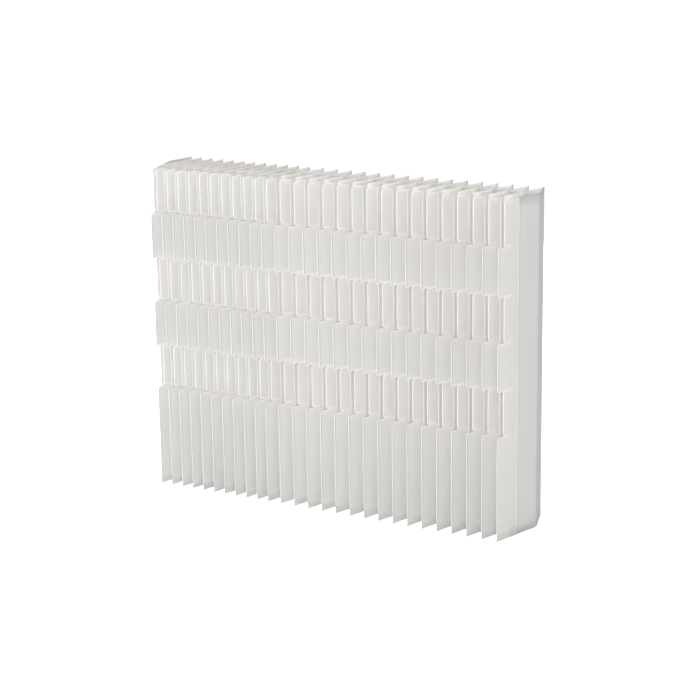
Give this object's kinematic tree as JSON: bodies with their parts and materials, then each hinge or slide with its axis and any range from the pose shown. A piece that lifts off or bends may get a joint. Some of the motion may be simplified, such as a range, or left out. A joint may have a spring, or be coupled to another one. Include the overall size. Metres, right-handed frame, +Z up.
{
  "type": "pleated paper screen",
  "caption": "Free-standing pleated paper honeycomb screen with stepped front edges; it draws out and pushes together like an accordion.",
  "frame": {"origin": "middle of the base, on the floor", "axes": "+X along the screen towards its right end, -Y out of the stepped front, +Z up"},
  "size_m": [1.9998, 0.4188, 1.6],
  "materials": {
    "pleat_paper": "uncoated ivory paper, matt, with a faint fibre grain",
    "end_paper": "uncoated ivory paper, matt, with a faint fibre grain"
  },
  "bodies": {
    "left_end": {"left_end_sheet": "end_paper"},
    "pleat_01": {"sheet_01": "pleat_paper"},
    "pleat_02": {"sheet_02": "pleat_paper"},
    "pleat_03": {"sheet_03": "pleat_paper"},
    "pleat_04": {"sheet_04": "pleat_paper"},
    "pleat_05": {"sheet_05": "pleat_paper"},
    "pleat_06": {"sheet_06": "pleat_paper"},
    "pleat_07": {"sheet_07": "pleat_paper"},
    "pleat_08": {"sheet_08": "pleat_paper"},
    "pleat_09": {"sheet_09": "pleat_paper"},
    "pleat_10": {"sheet_10": "pleat_paper"},
    "pleat_11": {"sheet_11": "pleat_paper"},
    "pleat_12": {"sheet_12": "pleat_paper"},
    "pleat_13": {"sheet_13": "pleat_paper"},
    "pleat_14": {"sheet_14": "pleat_paper"},
    "pleat_15": {"sheet_15": "pleat_paper"},
    "pleat_16": {"sheet_16": "pleat_paper"},
    "pleat_17": {"sheet_17": "pleat_paper"},
    "pleat_18": {"sheet_18": "pleat_paper"},
    "pleat_19": {"sheet_19": "pleat_paper"},
    "pleat_20": {"sheet_20": "pleat_paper"},
    "pleat_21": {"sheet_21": "pleat_paper"},
    "pleat_22": {"sheet_22": "pleat_paper"},
    "pleat_23": {"sheet_23": "pleat_paper"},
    "pleat_24": {"sheet_24": "pleat_paper"},
    "pleat_25": {"sheet_25": "pleat_paper"},
    "pleat_26": {"sheet_26": "pleat_paper"},
    "pleat_27": {"sheet_27": "pleat_paper"},
    "pleat_28": {"sheet_28": "pleat_paper"},
    "pleat_29": {"sheet_29": "pleat_paper"},
    "pleat_30": {"sheet_30": "pleat_paper"},
    "pleat_31": {"sheet_31": "pleat_paper"},
    "pleat_32": {"sheet_32": "pleat_paper"},
    "pleat_33": {"sheet_33": "pleat_paper"},
    "pleat_34": {"sheet_34": "pleat_paper"},
    "pleat_35": {"sheet_35": "pleat_paper"},
    "pleat_36": {"sheet_36": "pleat_paper"},
    "pleat_37": {"sheet_37": "pleat_paper"},
    "pleat_38": {"sheet_38": "pleat_paper"},
    "pleat_39": {"sheet_39": "pleat_paper"},
    "pleat_40": {"sheet_40": "pleat_paper"},
    "pleat_41": {"sheet_41": "pleat_paper"},
    "pleat_42": {"sheet_42": "pleat_paper"},
    "pleat_43": {"sheet_43": "pleat_paper"},
    "pleat_44": {"sheet_44": "pleat_paper"},
    "pleat_45": {"sheet_45": "pleat_paper"},
    "pleat_46": {"sheet_46": "pleat_paper"},
    "pleat_47": {"sheet_47": "pleat_paper"},
    "pleat_48": {"sheet_48": "pleat_paper"},
    "pleat_49": {"sheet_49": "pleat_paper"},
    "pleat_50": {"sheet_50": "pleat_paper"},
    "pleat_51": {"sheet_51": "pleat_paper"},
    "pleat_52": {"sheet_52": "pleat_paper"},
    "pleat_53": {"sheet_53": "pleat_paper"},
    "pleat_54": {"sheet_54": "pleat_paper"},
    "right_end": {"right_end_sheet": "end_paper"}
  },
  "joints": [
    {"name": "draw_slide", "type": "slide", "parent": "left_end", "child": "right_end", "axis": [1, 0, 0], "range_m": [-1, 0], "deforming": ["right_end_sheet", "left_end_sheet"]},
    {"name": "pleat_01_slide", "type": "slide", "parent": "left_end", "child": "pleat_01", "axis": [1, 0, 0], "range_m": [-0.03148, 0], "deforming": ["sheet_01"]},
    {"name": "pleat_02_slide", "type": "slide", "parent": "left_end", "child": "pleat_02", "axis": [1, 0, 0], "range_m": [-0.04717, 0], "deforming": ["sheet_02"]},
    {"name": "pleat_03_slide", "type": "slide", "parent": "left_end", "child": "pleat_03", "axis": [1, 0, 0], "range_m": [-0.06285, 0], "deforming": ["sheet_03"]},
    {"name": "pleat_04_slide", "type": "slide", "parent": "left_end", "child": "pleat_04", "axis": [1, 0, 0], "range_m": [-0.07854, 0], "deforming": ["sheet_04"]},
    {"name": "pleat_05_slide", "type": "slide", "parent": "left_end", "child": "pleat_05", "axis": [1, 0, 0], "range_m": [-0.09423, 0], "deforming": ["sheet_05"]},
    {"name": "pleat_06_slide", "type": "slide", "parent": "left_end", "child": "pleat_06", "axis": [1, 0, 0], "range_m": [-0.10992, 0], "deforming": ["sheet_06"]},
    {"name": "pleat_07_slide", "type": "slide", "parent": "left_end", "child": "pleat_07", "axis": [1, 0, 0], "range_m": [-0.12561, 0], "deforming": ["sheet_07"]},
    {"name": "pleat_08_slide", "type": "slide", "parent": "left_end", "child": "pleat_08", "axis": [1, 0, 0], "range_m": [-0.1413, 0], "deforming": ["sheet_08"]},
    {"name": "pleat_09_slide", "type": "slide", "parent": "left_end", "child": "pleat_09", "axis": [1, 0, 0], "range_m": [-0.15699, 0], "deforming": ["sheet_09"]},
    {"name": "pleat_10_slide", "type": "slide", "parent": "left_end", "child": "pleat_10", "axis": [1, 0, 0], "range_m": [-0.17267, 0], "deforming": ["sheet_10"]},
    {"name": "pleat_11_slide", "type": "slide", "parent": "left_end", "child": "pleat_11", "axis": [1, 0, 0], "range_m": [-0.18836, 0], "deforming": ["sheet_11"]},
    {"name": "pleat_12_slide", "type": "slide", "parent": "left_end", "child": "pleat_12", "axis": [1, 0, 0], "range_m": [-0.20405, 0], "deforming": ["sheet_12"]},
    {"name": "pleat_13_slide", "type": "slide", "parent": "left_end", "child": "pleat_13", "axis": [1, 0, 0], "range_m": [-0.21974, 0], "deforming": ["sheet_13"]},
    {"name": "pleat_14_slide", "type": "slide", "parent": "left_end", "child": "pleat_14", "axis": [1, 0, 0], "range_m": [-0.23543, 0], "deforming": ["sheet_14"]},
    {"name": "pleat_15_slide", "type": "slide", "parent": "left_end", "child": "pleat_15", "axis": [1, 0, 0], "range_m": [-0.25112, 0], "deforming": ["sheet_15"]},
    {"name": "pleat_16_slide", "type": "slide", "parent": "left_end", "child": "pleat_16", "axis": [1, 0, 0], "range_m": [-0.26681, 0], "deforming": ["sheet_16"]},
    {"name": "pleat_17_slide", "type": "slide", "parent": "left_end", "child": "pleat_17", "axis": [1, 0, 0], "range_m": [-0.28249, 0], "deforming": ["sheet_17"]},
    {"name": "pleat_18_slide", "type": "slide", "parent": "left_end", "child": "pleat_18", "axis": [1, 0, 0], "range_m": [-0.29818, 0], "deforming": ["sheet_18"]},
    {"name": "pleat_19_slide", "type": "slide", "parent": "left_end", "child": "pleat_19", "axis": [1, 0, 0], "range_m": [-0.31387, 0], "deforming": ["sheet_19"]},
    {"name": "pleat_20_slide", "type": "slide", "parent": "left_end", "child": "pleat_20", "axis": [1, 0, 0], "range_m": [-0.32956, 0], "deforming": ["sheet_20"]},
    {"name": "pleat_21_slide", "type": "slide", "parent": "left_end", "child": "pleat_21", "axis": [1, 0, 0], "range_m": [-0.34525, 0], "deforming": ["sheet_21"]},
    {"name": "pleat_22_slide", "type": "slide", "parent": "left_end", "child": "pleat_22", "axis": [1, 0, 0], "range_m": [-0.36094, 0], "deforming": ["sheet_22"]},
    {"name": "pleat_23_slide", "type": "slide", "parent": "left_end", "child": "pleat_23", "axis": [1, 0, 0], "range_m": [-0.38031, 0], "deforming": ["sheet_23"]},
    {"name": "pleat_24_slide", "type": "slide", "parent": "left_end", "child": "pleat_24", "axis": [1, 0, 0], "range_m": [-0.39967, 0], "deforming": ["sheet_24"]},
    {"name": "pleat_25_slide", "type": "slide", "parent": "left_end", "child": "pleat_25", "axis": [1, 0, 0], "range_m": [-0.41904, 0], "deforming": ["sheet_25"]},
    {"name": "pleat_26_slide", "type": "slide", "parent": "left_end", "child": "pleat_26", "axis": [1, 0, 0], "range_m": [-0.43841, 0], "deforming": ["sheet_26"]},
    {"name": "pleat_27_slide", "type": "slide", "parent": "left_end", "child": "pleat_27", "axis": [1, 0, 0], "range_m": [-0.45778, 0], "deforming": ["sheet_27"]},
    {"name": "pleat_28_slide", "type": "slide", "parent": "left_end", "child": "pleat_28", "axis": [1, 0, 0], "range_m": [-0.47715, 0], "deforming": ["sheet_28"]},
    {"name": "pleat_29_slide", "type": "slide", "parent": "left_end", "child": "pleat_29", "axis": [1, 0, 0], "range_m": [-0.49652, 0], "deforming": ["sheet_29"]},
    {"name": "pleat_30_slide", "type": "slide", "parent": "left_end", "child": "pleat_30", "axis": [1, 0, 0], "range_m": [-0.51589, 0], "deforming": ["sheet_30"]},
    {"name": "pleat_31_slide", "type": "slide", "parent": "left_end", "child": "pleat_31", "axis": [1, 0, 0], "range_m": [-0.53525, 0], "deforming": ["sheet_31"]},
    {"name": "pleat_32_slide", "type": "slide", "parent": "left_end", "child": "pleat_32", "axis": [1, 0, 0], "range_m": [-0.55462, 0], "deforming": ["sheet_32"]},
    {"name": "pleat_33_slide", "type": "slide", "parent": "left_end", "child": "pleat_33", "axis": [1, 0, 0], "range_m": [-0.57399, 0], "deforming": ["sheet_33"]},
    {"name": "pleat_34_slide", "type": "slide", "parent": "left_end", "child": "pleat_34", "axis": [1, 0, 0], "range_m": [-0.59336, 0], "deforming": ["sheet_34"]},
    {"name": "pleat_35_slide", "type": "slide", "parent": "left_end", "child": "pleat_35", "axis": [1, 0, 0], "range_m": [-0.61273, 0], "deforming": ["sheet_35"]},
    {"name": "pleat_36_slide", "type": "slide", "parent": "left_end", "child": "pleat_36", "axis": [1, 0, 0], "range_m": [-0.6321, 0], "deforming": ["sheet_36"]},
    {"name": "pleat_37_slide", "type": "slide", "parent": "left_end", "child": "pleat_37", "axis": [1, 0, 0], "range_m": [-0.65146, 0], "deforming": ["sheet_37"]},
    {"name": "pleat_38_slide", "type": "slide", "parent": "left_end", "child": "pleat_38", "axis": [1, 0, 0], "range_m": [-0.67083, 0], "deforming": ["sheet_38"]},
    {"name": "pleat_39_slide", "type": "slide", "parent": "left_end", "child": "pleat_39", "axis": [1, 0, 0], "range_m": [-0.6902, 0], "deforming": ["sheet_39"]},
    {"name": "pleat_40_slide", "type": "slide", "parent": "left_end", "child": "pleat_40", "axis": [1, 0, 0], "range_m": [-0.70957, 0], "deforming": ["sheet_40"]},
    {"name": "pleat_41_slide", "type": "slide", "parent": "left_end", "child": "pleat_41", "axis": [1, 0, 0], "range_m": [-0.72894, 0], "deforming": ["sheet_41"]},
    {"name": "pleat_42_slide", "type": "slide", "parent": "left_end", "child": "pleat_42", "axis": [1, 0, 0], "range_m": [-0.74831, 0], "deforming": ["sheet_42"]},
    {"name": "pleat_43_slide", "type": "slide", "parent": "left_end", "child": "pleat_43", "axis": [1, 0, 0], "range_m": [-0.76768, 0], "deforming": ["sheet_43"]},
    {"name": "pleat_44_slide", "type": "slide", "parent": "left_end", "child": "pleat_44", "axis": [1, 0, 0], "range_m": [-0.78705, 0], "deforming": ["sheet_44"]},
    {"name": "pleat_45_slide", "type": "slide", "parent": "left_end", "child": "pleat_45", "axis": [1, 0, 0], "range_m": [-0.80641, 0], "deforming": ["sheet_45"]},
    {"name": "pleat_46_slide", "type": "slide", "parent": "left_end", "child": "pleat_46", "axis": [1, 0, 0], "range_m": [-0.82578, 0], "deforming": ["sheet_46"]},
    {"name": "pleat_47_slide", "type": "slide", "parent": "left_end", "child": "pleat_47", "axis": [1, 0, 0], "range_m": [-0.84515, 0], "deforming": ["sheet_47"]},
    {"name": "pleat_48_slide", "type": "slide", "parent": "left_end", "child": "pleat_48", "axis": [1, 0, 0], "range_m": [-0.86452, 0], "deforming": ["sheet_48"]},
    {"name": "pleat_49_slide", "type": "slide", "parent": "left_end", "child": "pleat_49", "axis": [1, 0, 0], "range_m": [-0.88389, 0], "deforming": ["sheet_49"]},
    {"name": "pleat_50_slide", "type": "slide", "parent": "left_end", "child": "pleat_50", "axis": [1, 0, 0], "range_m": [-0.90326, 0], "deforming": ["sheet_50"]},
    {"name": "pleat_51_slide", "type": "slide", "parent": "left_end", "child": "pleat_51", "axis": [1, 0, 0], "range_m": [-0.92263, 0], "deforming": ["sheet_51"]},
    {"name": "pleat_52_slide", "type": "slide", "parent": "left_end", "child": "pleat_52", "axis": [1, 0, 0], "range_m": [-0.94199, 0], "deforming": ["sheet_52"]},
    {"name": "pleat_53_slide", "type": "slide", "parent": "left_end", "child": "pleat_53", "axis": [1, 0, 0], "range_m": [-0.96136, 0], "deforming": ["sheet_53"]},
    {"name": "pleat_54_slide", "type": "slide", "parent": "left_end", "child": "pleat_54", "axis": [1, 0, 0], "range_m": [-0.98073, 0], "deforming": ["sheet_54"]}
  ],
  "couplings": [
    {"joint": "pleat_01_slide", "follows": "draw_slide", "ratio": 0.031377},
    {"joint": "pleat_02_slide", "follows": "draw_slide", "ratio": 0.047066},
    {"joint": "pleat_03_slide", "follows": "draw_slide", "ratio": 0.062754},
    {"joint": "pleat_04_slide", "follows": "draw_slide", "ratio": 0.078443},
    {"joint": "pleat_05_slide", "follows": "draw_slide", "ratio": 0.094131},
    {"joint": "pleat_06_slide", "follows": "draw_slide", "ratio": 0.10982},
    {"joint": "pleat_07_slide", "follows": "draw_slide", "ratio": 0.12551},
    {"joint": "pleat_08_slide", "follows": "draw_slide", "ratio": 0.1412},
    {"joint": "pleat_09_slide", "follows": "draw_slide", "ratio": 0.15689},
    {"joint": "pleat_10_slide", "follows": "draw_slide", "ratio": 0.17257},
    {"joint": "pleat_11_slide", "follows": "draw_slide", "ratio": 0.18826},
    {"joint": "pleat_12_slide", "follows": "draw_slide", "ratio": 0.20395},
    {"joint": "pleat_13_slide", "follows": "draw_slide", "ratio": 0.21964},
    {"joint": "pleat_14_slide", "follows": "draw_slide", "ratio": 0.23533},
    {"joint": "pleat_15_slide", "follows": "draw_slide", "ratio": 0.25102},
    {"joint": "pleat_16_slide", "follows": "draw_slide", "ratio": 0.26671},
    {"joint": "pleat_17_slide", "follows": "draw_slide", "ratio": 0.28239},
    {"joint": "pleat_18_slide", "follows": "draw_slide", "ratio": 0.29808},
    {"joint": "pleat_19_slide", "follows": "draw_slide", "ratio": 0.31377},
    {"joint": "pleat_20_slide", "follows": "draw_slide", "ratio": 0.32946},
    {"joint": "pleat_21_slide", "follows": "draw_slide", "ratio": 0.34515},
    {"joint": "pleat_22_slide", "follows": "draw_slide", "ratio": 0.36084},
    {"joint": "pleat_23_slide", "follows": "draw_slide", "ratio": 0.38021},
    {"joint": "pleat_24_slide", "follows": "draw_slide", "ratio": 0.39957},
    {"joint": "pleat_25_slide", "follows": "draw_slide", "ratio": 0.41894},
    {"joint": "pleat_26_slide", "follows": "draw_slide", "ratio": 0.43831},
    {"joint": "pleat_27_slide", "follows": "draw_slide", "ratio": 0.45768},
    {"joint": "pleat_28_slide", "follows": "draw_slide", "ratio": 0.47705},
    {"joint": "pleat_29_slide", "follows": "draw_slide", "ratio": 0.49642},
    {"joint": "pleat_30_slide", "follows": "draw_slide", "ratio": 0.51579},
    {"joint": "pleat_31_slide", "follows": "draw_slide", "ratio": 0.53515},
    {"joint": "pleat_32_slide", "follows": "draw_slide", "ratio": 0.55452},
    {"joint": "pleat_33_slide", "follows": "draw_slide", "ratio": 0.57389},
    {"joint": "pleat_34_slide", "follows": "draw_slide", "ratio": 0.59326},
    {"joint": "pleat_35_slide", "follows": "draw_slide", "ratio": 0.61263},
    {"joint": "pleat_36_slide", "follows": "draw_slide", "ratio": 0.632},
    {"joint": "pleat_37_slide", "follows": "draw_slide", "ratio": 0.65136},
    {"joint": "pleat_38_slide", "follows": "draw_slide", "ratio": 0.67073},
    {"joint": "pleat_39_slide", "follows": "draw_slide", "ratio": 0.6901},
    {"joint": "pleat_40_slide", "follows": "draw_slide", "ratio": 0.70947},
    {"joint": "pleat_41_slide", "follows": "draw_slide", "ratio": 0.72884},
    {"joint": "pleat_42_slide", "follows": "draw_slide", "ratio": 0.74821},
    {"joint": "pleat_43_slide", "follows": "draw_slide", "ratio": 0.76758},
    {"joint": "pleat_44_slide", "follows": "draw_slide", "ratio": 0.78695},
    {"joint": "pleat_45_slide", "follows": "draw_slide", "ratio": 0.80631},
    {"joint": "pleat_46_slide", "follows": "draw_slide", "ratio": 0.82568},
    {"joint": "pleat_47_slide", "follows": "draw_slide", "ratio": 0.84505},
    {"joint": "pleat_48_slide", "follows": "draw_slide", "ratio": 0.86442},
    {"joint": "pleat_49_slide", "follows": "draw_slide", "ratio": 0.88379},
    {"joint": "pleat_50_slide", "follows": "draw_slide", "ratio": 0.90316},
    {"joint": "pleat_51_slide", "follows": "draw_slide", "ratio": 0.92253},
    {"joint": "pleat_52_slide", "follows": "draw_slide", "ratio": 0.94189},
    {"joint": "pleat_53_slide", "follows": "draw_slide", "ratio": 0.96126},
    {"joint": "pleat_54_slide", "follows": "draw_slide", "ratio": 0.98063}
  ]
}
